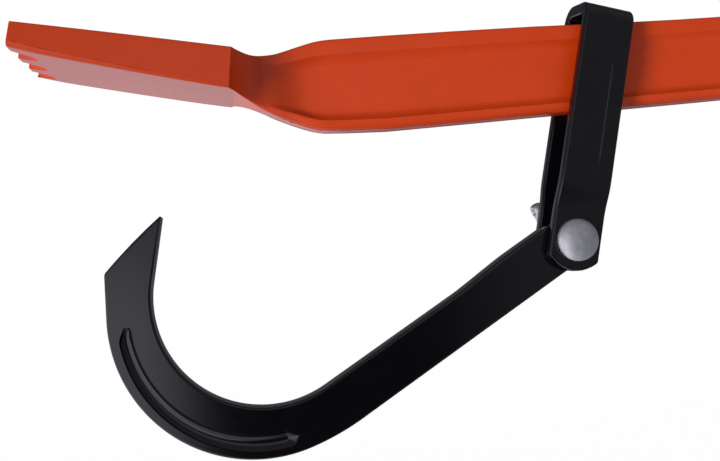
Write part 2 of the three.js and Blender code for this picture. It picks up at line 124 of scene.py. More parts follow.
# Where the forging's sections stand along it, besides its ends
TOOTH_STEPS = (0.4 * MM, 2 * MM)
BLADE_STEPS_START = 8 * MM
BLADE_STEPS_MARGIN = 3 * MM
SHOULDER_STEPS = (0.8 * MM, 0.2 * MM)
NECK_STEPS_START = 1 * MM
NECK_STEPS_OVERRUN = 4 * MM
BAR_STEPS_START = 60 * MM
BAR_STEPS_MARGIN = 10 * MM
GRIP_STEP = 20 * MM

# Stirrup strap
STRAP_WIDTH = 21 * MM
STRAP_THICKNESS = 4.5 * MM
STRAP_REACH = 100.3 * MM
STRAP_SIDE_CLEARANCE = 2 * MM
STRAP_EDGE_RADIUS = 0.9 * MM
STRAP_TILT = math.radians(15.7)
STRAP_BEND_THICKNESS = 5.2 * MM
STRAP_BEND_RADIUS = 2.4 * MM
STRAP_BEND_SKEW = 1.4 * MM
STRAP_BEND_SHARES = (0.7, 0.3, -0.3, -0.7)
STRAP_FOOT_REACH = 12.5 * MM
STRAP_FOOT_RADIUS = 14.3 * MM
STRAP_FOOT_SHARES = (1, 0.93, 0.75, 0.5, 0.25)
JOGGLE_START = 24 * MM
JOGGLE_END = 12 * MM
JOGGLE_EASE = 1 * MM
JOGGLE_FOOT_MARGIN = 1.5 * MM
JOGGLE_LEG_MARGIN = 2.5 * MM
CREASE_PLACE = 4.2 * MM
CREASE_WIDTH = 0.6 * MM
CREASE_HEIGHT = 0.1 * MM
CREASE_LOW = 27 * MM
CREASE_HIGH = 80 * MM
CREASE_FADE = 12 * MM
CREASE_POINT_SHARES = (-1, -0.6, -0.3, 0, 0.3, 0.6, 1)
BEFORE_CREASE_SHARES = (0.03, 0.25, 0.5, 0.8)
AFTER_CREASE_SHARES = (0.07, 0.2, 0.4, 0.6, 0.8, 0.99)
STRAP_INSIDE_SHARES = (0.01, 0.1, 0.2, 0.3, 0.4, 0.5, 0.6, 0.7, 0.8, 0.9, 0.99)

# Log hook
HOOK_ANGLE = math.radians(28.2)
HOOK_THICKNESS = 10 * MM
HOOK_SIDE_CLEARANCE = 0.5 * MM
HOOK_EDGE_RADIUS = 0.8 * MM
HOOK_TIP_ROUNDING = 0.9 * MM
HOOK_END_BULGE = 0.5 * MM
ARM_LENGTH = 115 * MM
ARM_RISE = 9.2 * MM
ARM_DROP = 9 * MM
EYE_RADIUS = 10.6 * MM
EYE_LENGTH = 26 * MM
EYE_BLEND_LENGTH = 24 * MM
EYE_BLEND_EASE = 4 * MM
EYE_ARC_START = 6 * MM
EYE_ARC_SHARES = (0.25, 0.5, 0.75, 0.92, 1)
BOWL_DROP = 7.9 * MM
BOWL_INNER_RADIUS = 42.85 * MM
BOWL_OUTER_RADIUS = 56.6 * MM
BOWL_OUTER_SHIFT = 5.2 * MM
BOWL_INNER_END = math.radians(139)
BOWL_OUTER_END = math.radians(149.5)
BOWL_ARM_END = math.radians(270)
BOWL_MARGIN = 1 * MM
HEEL_RADIUS = 100 * MM
HEEL_START = math.radians(257)
POINT_LENGTH = 25.9 * MM
CHEEK_LENGTH = 17.7 * MM
POINT_SHARES = (1, 0.94, 0.86, 0.7, 0.5, 0.3, 0.12)
HOOK_GROOVE_RADIUS = 50.4 * MM
HOOK_GROOVE_HALF_WIDTH = 3.4 * MM
HOOK_GROOVE_DEPTH = 1.8 * MM
HOOK_GROOVE_CURVE = 0.8
HOOK_GROOVE_START = math.radians(157.5)
HOOK_GROOVE_FINISH = math.radians(249)
NO_GROOVE_HALF_WIDTH = 0.05 * MM
NO_GROOVE_PLACE = 6.5 * MM
BEFORE_GROOVE_SHARES = (0.04, 0.3, 0.6, 0.95)
AFTER_GROOVE_SHARES = (0.06, 0.5, 0.95)

# Pivot pin, its bore and its washer
PIN_RADIUS = 5.5 * MM
PIN_HEAD_RADIUS = 8.6 * MM
PIN_HEAD_HEIGHT = 4.4 * MM
PIN_HEAD_RIM = 1.1 * MM
PIN_HEAD_EDGE_RADIUS = 0.5 * MM
PIN_TAIL_CHAMFER = 1 * MM
PIN_TAIL_EASE = 0.1 * MM
PIN_TAIL_MARGIN = 1.2 * MM
PIN_SHANK_START = 2 * MM
PIN_BORE_RADIUS = 5.8 * MM
WASHER_RADIUS = 9.5 * MM
WASHER_THICKNESS = 2 * MM
WASHER_EDGE_RADIUS = 0.25 * MM
SEAT_GAP = 0.3 * MM

# Split pin
SPLIT_PIN_WIDTH = 4.8 * MM
SPLIT_PIN_THICKNESS = 2.2 * MM
SPLIT_PIN_PRESSED_SHARE = 0.95
SPLIT_PIN_REACH = 18.8 * MM
SPLIT_PIN_NECK_LENGTH = 3.2 * MM
SPLIT_PIN_NECK_START_SHARE = 0.7
SPLIT_PIN_NECK_END_SHARE = 0.5
SPLIT_PIN_EYE_WIDTH = 6.8 * MM
SPLIT_PIN_CROWN_SHARE = 0.9
SPLIT_PIN_PRONG_LENGTH = 4.6 * MM
SPLIT_PIN_TIP_SHARE = 0.8
SPLIT_PIN_SPREAD = 2.8 * MM
SPLIT_PIN_ANGLE = math.radians(109)

# Grip sleeve
GRIP_WALL = 4.2 * MM
GRIP_SIDE_WALL = 6.3 * MM
GRIP_SWELL = 2.2 * MM
GRIP_SWELL_SHARES = (
    (0, 0.4), (0.02, 1), (0.08, 1), (0.13, 0.1), (0.3, -0.1), (0.5, 0.3), (0.7, -0.1), (0.87, 0.2),
    (0.93, 1), (0.98, 0.9), (1, 0.1),
)
GRIP_CORNER_RADIUS = 9 * MM
GRIP_BORE_STEP = 4 * MM
GRIP_MOUTH_DEPTH = 0.4 * MM
GRIP_MOUTH_FLARE = 0.8 * MM
GRIP_MOUTH_ROUNDING = 1.2 * MM
GRIP_END_ROUNDING = 2.6 * MM
GRIP_RIB_COUNT = 14
GRIP_RIB_HEIGHT = 0.9 * MM
GRIP_RIB_CURVE = 0.6
GRIP_RIBS_START_SHARE = 0.17
GRIP_RIBS_END_SHARE = 0.83
GRIP_STEPS = 220
GRIP_STEPS_START = 2 * MM
GRIP_STEPS_MARGIN = 3 * MM

# Painted shade: the share of the paint's full colour at places from the blade's root, in MM. It darkens the
# blade and the neck where they lie in shade.
PAINTED_SHADE_TONES = ((-78, 0.88), (-1, 0.88), (2, 1), (6, 1), (11, 0.82), (19, 0.78), (26, 0.96), (36, 1))

# How finely the pieces are made
MERGE_DISTANCE = 0.002 * MM
SHARP_ANGLE = math.radians(40)
BORE_SIDES = 64
BOWL_STEPS = 110
SPIN_STEPS = 72

# Camera at the photograph's view: the focal length and place come from its parallel edges
SENSOR_WIDTH = 36
FOCAL_PIXELS = 780
IMAGE_WIDTH = 720
CAMERA_PLACE = Vector((-0.652, -0.30836, -0.0762))
CAMERA_RIGHT = Vector((0.984816, -0.136883, -0.106771))
CAMERA_UP = Vector((0.098950, -0.062738, 0.993112))

# Floor and key light
FLOOR_Z = -0.28
FLOOR_REACH = 14
FLOOR_PALE = 0.95
FLOOR_GLOW = 0.7
FLOOR_ROUGHNESS = 0.9
KEY_LIGHTS = {
    "key_high": ((-0.82, -0.48, 0.15), 1.25),
    "key_low": ((-0.82, -0.48, -0.25), 2.35),
}
KEY_SPREAD = math.radians(18)

# Soft light by direction. A band is where one light gives way to the next along X, Y or Z
FRONT_LIGHT = 0.52
SIDE_LIGHT = 0.8
BACK_LIGHT = 1.2
FLOOR_LIGHT = 0.75
UNDER_LIGHT = 0.1
TOP_LIGHT = 0.1
SIDE_BAND = (-0.3, -0.8)
BACK_BAND = (-0.1, 0.3)
TOP_BAND = (0.25, 0.6)
FLOOR_BAND = (0.02, -0.06)
UNDER_BAND = (-0.45, -0.8)

# What the glossy coats mirror, by direction
MIRRORED_LEFT = 1.4
MIRRORED_FAR_LEFT = 1.6
MIRRORED_RAISED = 0.15
MIRRORED_CORNER = 0.8
MIRRORED_DARK = 0.03
MIRRORED_AHEAD = 0.7
MIRRORED_RIGHT = 0.22
MIRRORED_TOP = 0.25
MIRRORED_FLOOR = 0.3
MIRRORED_LEFT_FLOOR = 0.8
MIRRORED_BACK = 1.05
MIRRORED_FAR_BACK = 0.3
MIRRORED_WALL = 0.4
MIRRORED_DIM = 0.1
MIRRORED_TINT = (0.97, 0.97, 1.08, 1)
MIRRORED_AHEAD_BAND = (-0.02, 0.08)
MIRRORED_RIGHT_BAND = (0.2, 0.36)
MIRRORED_LEFT_BAND = (-0.2, -0.5)
MIRRORED_CORNER_BAND = (-0.3, -0.4)
MIRRORED_RAISED_BAND = (-0.05, 0.2)
MIRRORED_PANEL_BAND = (-0.045, -0.15)
MIRRORED_TOP_BAND = (0.2, 0.6)
MIRRORED_FLOOR_BAND = (-0.5, -0.75)
MIRRORED_FLOOR_SIDE_BAND = (-0.1, 0.1)
MIRRORED_BACK_BAND = (-0.1, 0.1)
MIRRORED_BACK_FLOOR_BAND = (-0.04, -0.11)
MIRRORED_FAR_BACK_BAND = (0, 0.2)
MIRRORED_WALL_TOP_BAND = (0.15, 0.38)
MIRRORED_WALL_SIDE_BAND = (-0.22, -0.05)
WHITE = (1, 1, 1, 1)

# Sizes and places worked out from the ones above
BAR_TOP = BAR_HEIGHT / 2
ROOT_X = BAR_LOW.x + BLADE_LENGTH
ROOT_Z = BAR_HEIGHT_AT_GRIP / 2 - BAR_TOP
GRIP_START = GRIP_LOW.x - ROOT_X
BAR_END = BAR_HIGH.x - ROOT_X
RECESS_END = GRIP_START - RECESS_END_PLACE
TIP_X = -BLADE_LENGTH
NECK_TOP_END = NECK_TOP_END_SHARE * NECK_LENGTH
BLADE_ROOT_TOP = BLADE_ROOT_THICKNESS - BLADE_ROOT_DROP
BLADE_TIP_BOTTOM = BLADE_RISE - BLADE_ROOT_DROP
BLADE_TIP_TOP = BLADE_TIP_BOTTOM + BLADE_TIP_THICKNESS
NECK_DROP = BAR_TOP - BLADE_ROOT_DROP
TOOTH_GROOVE_END = TIP_X + TOOTH_GROOVE_LENGTH
SHOULDER_END = SHOULDER_START + SHOULDER_LENGTH
FOOT_INNER = HOOK_THICKNESS / 2 + HOOK_SIDE_CLEARANCE
FOOT_OUTER = FOOT_INNER + STRAP_THICKNESS
FOOT_TOP = JOGGLE_END - JOGGLE_FOOT_MARGIN
STRAP_INNER = BAR_THICKNESS / 2 + STRAP_SIDE_CLEARANCE
STRAP_TOP = STRAP_REACH - STRAP_BEND_THICKNESS
EYE_BLEND_START = -EYE_LENGTH - EYE_BLEND_LENGTH
HEAD_SEAT = -FOOT_OUTER - SEAT_GAP
TAIL_END = PIN_HIGH.y
WASHER_NEAR = FOOT_OUTER + SEAT_GAP
WASHER_FAR = WASHER_NEAR + WASHER_THICKNESS
SPLIT_PIN_PLACE = WASHER_FAR + SEAT_GAP + SPLIT_PIN_THICKNESS
GRIP_LENGTH = GRIP_HIGH.x - GRIP_LOW.x
GRIP_RIBS_START = GRIP_RIBS_START_SHARE * GRIP_LENGTH
GRIP_RIBS_END = GRIP_RIBS_END_SHARE * GRIP_LENGTH
GRIP_BORE_HEIGHT = BAR_HEIGHT_AT_GRIP + 2 * SEAT_GAP
GRIP_BORE_WIDTH = BAR_THICKNESS + 2 * SEAT_GAP


# Making pieces

def smoothstep(low, high, value):
    t = min(max((value - low) / (high - low), 0), 1)
    return t * t * (3 - 2 * t)


def lerp(a, b, t):
    return a + (b - a) * t


def spread(low, high, count):
    """Values from low to high, both included."""
    return [lerp(low, high, i / count) for i in range(count + 1)]


def smooth_curve(pairs):
    """The value at x on a smooth curve through (x, value) pairs, level at its far end."""
    slopes = [(pairs[1][1] - pairs[0][1]) / (pairs[1][0] - pairs[0][0])]
    for before, after in zip(pairs, pairs[2:]):
        slopes.append((after[1] - before[1]) / (after[0] - before[0]))
    slopes.append(0)

    def value_at(x):
        if x <= pairs[0][0]:
            return pairs[0][1]
        for i in range(len(pairs) - 1):
            (x0, y0), (x1, y1) = pairs[i], pairs[i + 1]
            if x <= x1:
                h = x1 - x0
                t = (x - x0) / h
                rise = y0 * (1 + 2 * t) * (1 - t) ** 2 + y1 * t * t * (3 - 2 * t)
                return rise + slopes[i] * h * t * (1 - t) ** 2 - slopes[i + 1] * h * t * t * (1 - t)
        return pairs[-1][1]

    return value_at


def placed(points, matrix):
    return [matrix @ Vector(p) for p in points]


def ring_of(bm, points):
    """A closed loop of edges through the points."""
    verts = [bm.verts.new(p) for p in points]
    edges = [bm.edges.new((v, verts[(i + 1) % len(verts)])) for i, v in enumerate(verts)]
    return verts, edges


def draw_out(bm, sections):
    """Extrudes the first section's loop from section to section, and closes both ends."""
    verts, edges = ring_of(bm, sections[0])
    bm.faces.new(verts)
    for points in sections[1:]:
        made = set(bmesh.ops.extrude_edge_only(bm, edges=edges)["geom"])
        drawn = []
        for vert in verts:
            drawn.append(next(e.other_vert(vert) for e in vert.link_edges if e.other_vert(vert) in made))
        for vert, point in zip(drawn, points):
            vert.co = point
        count = len(drawn)
        edges = [bm.edges.get((drawn[i], drawn[(i + 1) % count])) for i in range(count)]
        verts = drawn
    bm.faces.new(verts)


def new_object(name, bm):
    """Puts a bmesh into the scene as an object at the origin."""
    mesh = bpy.data.meshes.new(name)
    bm.to_mesh(mesh)
    bm.free()
    made = bpy.data.objects.new(name, mesh)
    bpy.context.scene.collection.objects.link(made)
    return made


def finished(name, bm, material, body, nodes):
    """Closes a mesh off as a piece that rides on a body and stands for CAD nodes."""
    bmesh.ops.remove_doubles(bm, verts=bm.verts, dist=MERGE_DISTANCE)
    bmesh.ops.recalc_face_normals(bm, faces=bm.faces)
    for face in bm.faces:
        face.smooth = True
    piece = new_object(name, bm)
    piece.data.materials.append(material)
    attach(piece, body)
    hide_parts(*nodes)
    return piece


def bore_through(piece, length):
    """Cuts the pin's bore through a piece, and keeps its edges sharp."""
    bm = bmesh.new()
    bmesh.ops.create_cone(
        bm, cap_ends=True, segments=BORE_SIDES, depth=length,
        radius1=PIN_BORE_RADIUS, radius2=PIN_BORE_RADIUS,
    )
    bmesh.ops.rotate(bm, verts=bm.verts, matrix=Matrix.Rotation(QUARTER, 3, "X"))
    bmesh.ops.translate(bm, verts=bm.verts, vec=PIVOT)
    cutter = new_object("bore", bm)
    cut = piece.modifiers.new("bore", "BOOLEAN")
    cut.operation = "DIFFERENCE"
    cut.object = cutter
    cut.solver = "EXACT"
    graph = bpy.context.evaluated_depsgraph_get()
    bored = bpy.data.meshes.new_from_object(piece.evaluated_get(graph))
    piece.modifiers.clear()
    piece.data = bored
    bpy.data.objects.remove(cutter)
    for polygon in bored.polygons:
        polygon.use_smooth = True
    edges = bmesh.new()
    edges.from_mesh(bored)
    for edge in edges.edges:
        if len(edge.link_faces) == 2 and edge.calc_face_angle() > SHARP_ANGLE:
            edge.smooth = False
    edges.to_mesh(bored)
    edges.free()


# Finishes

def feed(tree, socket, value):
    """Links another node's output to a socket, or sets the socket to a plain value."""
    if isinstance(value, bpy.types.NodeSocket):
        tree.links.new(value, socket)
    else:
        socket.default_value = value


def node(tree, kind, **values):
    """A node with its settings, and its inputs fed. An input's name has _ for each space."""
    made = tree.nodes.new(kind)
    for key, value in values.items():
        if hasattr(made, key):
            setattr(made, key, value)
        else:
            feed(tree, made.inputs[key.replace("_", " ")], value)
    return made


def blend(tree, share, a, b, **settings):
    return node(tree, "ShaderNodeMix", **settings, Factor=share, A=a, B=b).outputs["Result"]


def noise(tree, scale, detail, roughness=0.5):
    """Noise on the piece's own coordinates, scale in turns per metre."""
    coords = node(tree, "ShaderNodeTexCoord").outputs["Object"]
    made = node(tree, "ShaderNodeTexNoise", Vector=coords, Scale=scale, Detail=detail, Roughness=roughness)
    return made.outputs["Fac"]


def ramp(tree, source, stops):
    """Turns a value into a colour by (place, colour) stops."""
    made = node(tree, "ShaderNodeValToRGB", Fac=source)
    elements = made.color_ramp.elements
    while len(elements) < len(stops):
        elements.new(0.5)
    for element, (place, color) in zip(elements, stops):
        element.position = place
        element.color = (*color, 1)
    return made.outputs["Color"]


def finish_material(name):
    material = bpy.data.materials.new(name)
    material.use_nodes = True
    shader = next(n for n in material.node_tree.nodes if n.type == "BSDF_PRINCIPLED")
    return material, shader


def coat(name, tone, tones, gloss, roughness, reliefs, metallic=0, specular=0.5, places=None):
    """A finish. Tone and gloss are the noises that its colour and its roughness follow.

    Each relief is a noise, its height and its strength. Places are tones along the lever that darken it as
    painted shade.
    """
    material, shader = finish_material(name)
    tree = material.node_tree
    color = ramp(tree, noise(tree, *tone), tones)
    if places:
        # Painted shade: the colour is darkened on the blade and in the neck
        color = blend(tree, 1, color, painted_shade_along(tree, places), data_type="RGBA", blend_type="MULTIPLY")
    feed(tree, shader.inputs["Base Color"], color)
    low, high = roughness
    level = node(tree, "ShaderNodeMapRange", Value=noise(tree, *gloss), To_Min=low, To_Max=high)
    feed(tree, shader.inputs["Roughness"], level.outputs["Result"])
    feed(tree, shader.inputs["Metallic"], metallic)
    feed(tree, shader.inputs["Specular IOR Level"], specular)
    under = None
    for grain, height, strength in reliefs:
        pattern = noise(tree, *grain)
        relief = node(tree, "ShaderNodeBump", Height=pattern, Distance=height, Strength=strength)
        if under:
            feed(tree, relief.inputs["Normal"], under)
        under = relief.outputs["Normal"]
    feed(tree, shader.inputs["Normal"], under)
    return material


def painted_shade_along(tree, places):
    """Grey tones at places along the lever's length, that darken the paint as painted shade."""
    coords = node(tree, "ShaderNodeTexCoord").outputs["Object"]
    along = node(tree, "ShaderNodeSeparateXYZ", Vector=coords).outputs["X"]
    first, last = places[0][0], places[-1][0]
    start, finish = ROOT_X + first * MM, ROOT_X + last * MM
    share = node(tree, "ShaderNodeMapRange", Value=along, From_Min=start, From_Max=finish)
    stops = [((place - first) / (last - first), (tone, tone, tone)) for place, tone in places]
    return ramp(tree, share.outputs["Result"], stops)


def orange_powder_coat():
    """Glossy orange with a slight orange peel. Painted shade darkens it on the blade and in the neck, where
    they lie in shade.
    """
    return coat(
        "orange_paint",
        tone=(55, 4, 0.6),
        tones=((0.25, (0.51, 0.04, 0.003)), (0.75, (0.55, 0.045, 0.005))),
        gloss=(240, 3),
        roughness=(0.24, 0.3),
        reliefs=(((420, 2), 0.01 * MM, 0.3), ((60, 2), 0.03 * MM, 0.3)),
        specular=0.35,
        places=PAINTED_SHADE_TONES,
    )


def black_satin_coat():
    return coat(
        "black_coat",
        tone=(120, 4, 0.6),
        tones=((0.3, (0.0014, 0.0014, 0.0022)), (0.75, (0.0022, 0.0022, 0.0034))),
        gloss=(300, 4),
        roughness=(0.07, 0.11),
        reliefs=(((900, 3), 0.01 * MM, 0.4),),
    )


def bright_zinc():
    return coat(
        "zinc_plate",
        tone=(260, 5, 0.6),
        tones=((0.3, (0.48, 0.48, 0.49)), (0.7, (0.7, 0.7, 0.71))),
        gloss=(500, 3),
        roughness=(0.42, 0.6),
        reliefs=(((330, 3), 0.02 * MM, 0.3),),
        metallic=1,
    )


def grip_rubber():
    return coat(
        "black_rubber",
        tone=(200, 5, 0.7),
        tones=((0.3, (0.009, 0.009, 0.009)), (0.75, (0.016, 0.016, 0.016))),
        gloss=(700, 3),
        roughness=(0.55, 0.75),
        reliefs=(((1500, 2), 0.06 * MM, 0.7),),
    )


ORANGE = orange_powder_coat()
BLACK = black_satin_coat()
ZINC = bright_zinc()
RUBBER = grip_rubber()


# Lever forging. Places along it are measured from the blade's root, at the bar's mid-height.

neck_top = smooth_curve([
    (0, BLADE_ROOT_TOP),
    *[(along * NECK_LENGTH, up * BLADE_ROOT_TOP) for along, up in NECK_TOP_SHARES],
    (NECK_TOP_END, BAR_TOP),
])
neck_bottom = smooth_curve([
    (0, -BLADE_ROOT_DROP),
    *[(along * NECK_LENGTH, -BLADE_ROOT_DROP - down * NECK_DROP) for along, down in NECK_BOTTOM_SHARES],
    (NECK_LENGTH, -BAR_TOP),
])
top_swell = smooth_curve([(place * MM, height * MM) for place, height in TOP_SWELL])
bottom_swell = smooth_curve([(place * MM, height * MM) for place, height in BOTTOM_SWELL])


def lever_top(x):
    if x < 0:
        return lerp(BLADE_ROOT_TOP, BLADE_TIP_TOP, -x / BLADE_LENGTH) + top_swell(x)
    return neck_top(x) + top_swell(x)


def lever_bottom(x):
    if x < 0:
        line = lerp(-BLADE_ROOT_DROP, BLADE_TIP_BOTTOM, -x / BLADE_LENGTH)
    elif x < NECK_LENGTH:
        line = neck_bottom(x)
    else:
        along = min((x - NECK_LENGTH) / (GRIP_START - NECK_LENGTH), 1)
        line = lerp(-BAR_TOP, BAR_TOP - BAR_HEIGHT_AT_GRIP, along)
    return line - bottom_swell(x)


def along_shoulder(x):
    return min(max((x - SHOULDER_START) / SHOULDER_LENGTH, 0), 1)


def lever_half_width(x):
    blade = lerp(BLADE_ROOT_WIDTH, BLADE_TIP_WIDTH, max(-x / BLADE_LENGTH, 0)) / 2
    return lerp(BAR_THICKNESS / 2, blade, (1 - along_shoulder(x)) ** SHOULDER_SWEEP)


def recess_share(x):
    start = smoothstep(RECESS_START, RECESS_START + RECESS_START_LENGTH, x)
    return start * (1 - smoothstep(RECESS_END - RECESS_END_LENGTH, RECESS_END, x))


def flange_profile(half, web, radius, lip, slope, middle):
    """Points round a corner, down its flange and in to the web, as Y and depth."""
    lip = max(lip, FLANGE_LEAST_SHARE * radius)
    points = []
    for turn in spread(0, QUARTER, 6):
        points.append((half - radius + radius * math.sin(turn), radius * (1 - math.cos(turn))))
    points.append((half, lerp(radius, lip, FLANGE_MIDDLE_SHARE)))
    points.append((half, lip - RECESS_EDGE))
    for t in (0, RECESS_FIRST_SHARE, *spread(RECESS_SECOND_SHARE, 1, 8)):
        points.append((lerp(half, web, 1 - (1 - t) ** RECESS_CURVE), lip + slope * t))
    points.append((web, lerp(lip + slope, middle, WEB_POINT_SHARE)))
    return points


def side_profile(half, top, bottom, web, top_radius, radius):
    """Points down the +Y side, from the top corner to the bottom one."""
    height = top - bottom
    share = height / BAR_HEIGHT
    slope = RECESS_SLOPE * share
    upper = flange_profile(half, web, top_radius, UPPER_FLANGE_HEIGHT * share, slope, height / 2)
    lower = flange_profile(half, web, radius, LOWER_FLANGE_HEIGHT * share, slope, height / 2)
    down = [(y, top - depth) for y, depth in upper]
    up = [(y, bottom + depth) for y, depth in reversed(lower)]
    return down + [(web, (top + bottom) / 2)] + up


def underside_profile(x, half, radius, bottom, inset):
    """Points across the underside from +Y to -Y, with the grooves between the teeth near the tip."""
    share = (half + inset) / (BLADE_TIP_WIDTH / 2)
    growth = max((TOOTH_GROOVE_END - x) / TOOTH_GROOVE_LENGTH, 0)
    groove = max(TOOTH_GROOVE_RADIUS * growth ** TOOTH_GROOVE_FLARE, TOOTH_GROOVE_LEAST_RADIUS)
    across = []
    edge = half - radius
    for place in TOOTH_GROOVE_SHARES:
        centre = -place * BLADE_TIP_WIDTH * share
        across += [(lerp(edge, centre + groove, t), 0) for t in TOOTH_POINT_SHARES]
        for turn in spread(0, math.pi, 12):
            depth = groove * math.sin(turn) if growth > 0 else 0
            across.append((centre + groove * math.cos(turn), depth))
        edge = centre - groove
    across += [(lerp(edge, -half + radius, t), 0) for t in LAST_TOOTH_POINT_SHARES]
    return [(y, bottom + depth) for y, depth in across]


def lever_section(x, inset):
    """One section of the forging, square to the blade. Inset draws it in where the tip's end rounds off."""
    lean = lerp(SHOULDER_LEAN, BLADE_RISE / BLADE_LENGTH, max(-x / BLADE_LENGTH, 0))
    lean *= 1 - smoothstep(0, 1, along_shoulder(x))
    bottom = lever_bottom(x) + inset
    top = lever_top(x + lean * (lever_top(x) - bottom)) - inset
    half = lever_half_width(x) - inset
    on_bar = smoothstep(0, NECK_EDGE_SHARE * NECK_LENGTH, x)
    top_radius = lerp(BLADE_EDGE_RADIUS, BAR_TOP_EDGE_RADIUS, on_bar)
    radius = lerp(BLADE_EDGE_RADIUS, BAR_EDGE_RADIUS, on_bar)
    if x < 0:
        radius = lerp(BLADE_EDGE_RADIUS, BLADE_TIP_EDGE_RADIUS, -x / BLADE_LENGTH)
    web = half - RECESS_DEPTH * recess_share(x)
    side = side_profile(half, top, bottom, web, top_radius, radius)
    flat = half - top_radius
    across_top = [(lerp(-flat, flat, t), top) for t in TOP_POINT_SHARES]
    below = underside_profile(x, half, radius, bottom, inset)
    back = [(-y, z) for y, z in reversed(side)]
    return [Vector((x + lean * (z - lever_bottom(x)), y, z)) for y, z in across_top + side + below + back]


def lever_stations():
    """Where the sections stand, from the tip's rounded end to the bar's end inside the grip."""
    stations = spread(TIP_X + BLADE_END_ROUNDING, TOOTH_GROOVE_END, 14)[1:]
    stations += [TOOTH_GROOVE_END + step for step in TOOTH_STEPS]
    stations += spread(TOOTH_GROOVE_END + BLADE_STEPS_START, SHOULDER_START - BLADE_STEPS_MARGIN, 7)
    stations += [SHOULDER_START - step for step in SHOULDER_STEPS]
    stations += [SHOULDER_START + SHOULDER_LENGTH * (1 - math.cos(turn)) for turn in spread(0, QUARTER, 24)]
    stations += spread(SHOULDER_END + NECK_STEPS_START, NECK_TOP_END + NECK_STEPS_OVERRUN, 26)
    stations += spread(BAR_STEPS_START, RECESS_END - RECESS_END_LENGTH - BAR_STEPS_MARGIN, 14)
    stations += spread(RECESS_END - RECESS_END_LENGTH, RECESS_END, 12)
    stations += [GRIP_START - GRIP_STEP, BAR_END]
    return stations


def make_lever_forging():
    plan = []
    for turn in spread(QUARTER, 0, 5):
        x = TIP_X + BLADE_END_ROUNDING * (1 - math.sin(turn))
        plan.append((x, BLADE_END_ROUNDING * (1 - math.cos(turn))))
    plan += [(x, 0) for x in lever_stations()]
    root = Vector((ROOT_X, 0, ROOT_Z))
    bm = bmesh.new()
    draw_out(bm, [[root + p for p in lever_section(x, inset)] for x, inset in plan])
    finished("lever_forging", bm, ORANGE, "lever", ["lever_bar"])


# Stirrup strap. Its line goes up the far leg, round the bend and down the near one.

STRAP_MATRIX = Matrix.Translation(PIVOT) @ Matrix.Rotation(STRAP_TILT, 4, "Y")


def strap_section(thickness, crease):
    """Rounded flat bar, across and out from its inner face. A crease can stand on the outer face."""
    radius = STRAP_EDGE_RADIUS
    edge = STRAP_WIDTH / 2 - radius
    outer = thickness - radius
    points = []
    corners = ((edge, outer), (-edge, outer), (-edge, radius), (edge, radius))
    for quarter, (across, out) in enumerate(corners):
        for turn in spread(quarter * QUARTER, (quarter + 1) * QUARTER, 5):
            points.append((across + radius * math.cos(turn), out + radius * math.sin(turn)))
        if quarter == 0:
            points += [(lerp(edge, CREASE_PLACE, t), thickness) for t in BEFORE_CREASE_SHARES]
            for t in CREASE_POINT_SHARES:
                rise = crease * math.cos(t * QUARTER) ** 2
                points.append((CREASE_PLACE - t * CREASE_WIDTH, thickness + rise))
            points += [(lerp(CREASE_PLACE, -edge, t), thickness) for t in AFTER_CREASE_SHARES]
        if quarter == 2:
            points += [(lerp(-edge, edge, t), 0) for t in STRAP_INSIDE_SHARES]
    return points


def bend_corner(middle, turns):
    """Places round one corner of the bend, with the way out of each."""
    places = []
    for turn in turns:
        up = STRAP_TOP - STRAP_BEND_RADIUS * (1 - math.sin(turn))
        places.append((middle + STRAP_BEND_RADIUS * math.cos(turn), up, turn, 0))
    return places


def strap_line():
    """Places along the strap: its inner face, which way is out, and the share of the foot's end in it."""
    corner = STRAP_INNER - STRAP_BEND_RADIUS
    leg = [(FOOT_INNER, 0, share) for share in STRAP_FOOT_SHARES]
    leg.append((FOOT_INNER, FOOT_TOP, 0))
    for t in spread(0, 1, 12):
        side = lerp(FOOT_INNER, STRAP_INNER, smoothstep(0, 1, t))
        leg.append((side, lerp(JOGGLE_END - JOGGLE_EASE, JOGGLE_START + JOGGLE_EASE, t), 0))
    for up in spread(JOGGLE_START + JOGGLE_LEG_MARGIN, STRAP_TOP - STRAP_BEND_RADIUS, 16):
        leg.append((STRAP_INNER, up, 0))
    line = [(side, up, 0, end) for side, up, end in leg]
    line += bend_corner(corner, spread(0, QUARTER, 14)[1:])
    line += [(corner * t, STRAP_TOP, QUARTER, 0) for t in STRAP_BEND_SHARES]
    line += bend_corner(-corner, spread(QUARTER, math.pi, 14)[:-1])
    line += [(-side, up, math.pi, end) for side, up, end in reversed(leg)]
    skewed = []
    for side, up, turn, end in line:
        rise = STRAP_BEND_SKEW * side / STRAP_INNER * smoothstep(CREASE_HIGH, STRAP_TOP, up)
        skewed.append((side, up + rise, turn, end))
    return skewed


def crease_height(up, turn):
    """The crease stands on the near leg only, and fades at both ends."""
    if turn <= QUARTER:
        return 0
    grown = smoothstep(CREASE_LOW, CREASE_LOW + CREASE_FADE, up)
    return CREASE_HEIGHT * grown * (1 - smoothstep(CREASE_HIGH - CREASE_FADE, CREASE_HIGH, up))


def foot_end(flat):
    """Rings that round a foot's end off over the edge radius, from the full section outwards."""
    middle = sum(flat, Vector()) / len(flat)
    rings = []
    for turn in spread(0, QUARTER, 4):
        drawn = STRAP_EDGE_RADIUS * (1 - math.cos(turn))
        ring = []
        for p in flat:
            x = p.x * (1 - drawn / (STRAP_WIDTH / 2))
            y = p.y - math.copysign(min(drawn, abs(p.y - middle.y)), p.y - middle.y)
            ring.append(Vector((x, y, p.z + STRAP_EDGE_RADIUS * (1 - math.sin(turn)))))
        rings.append(ring)
    return rings


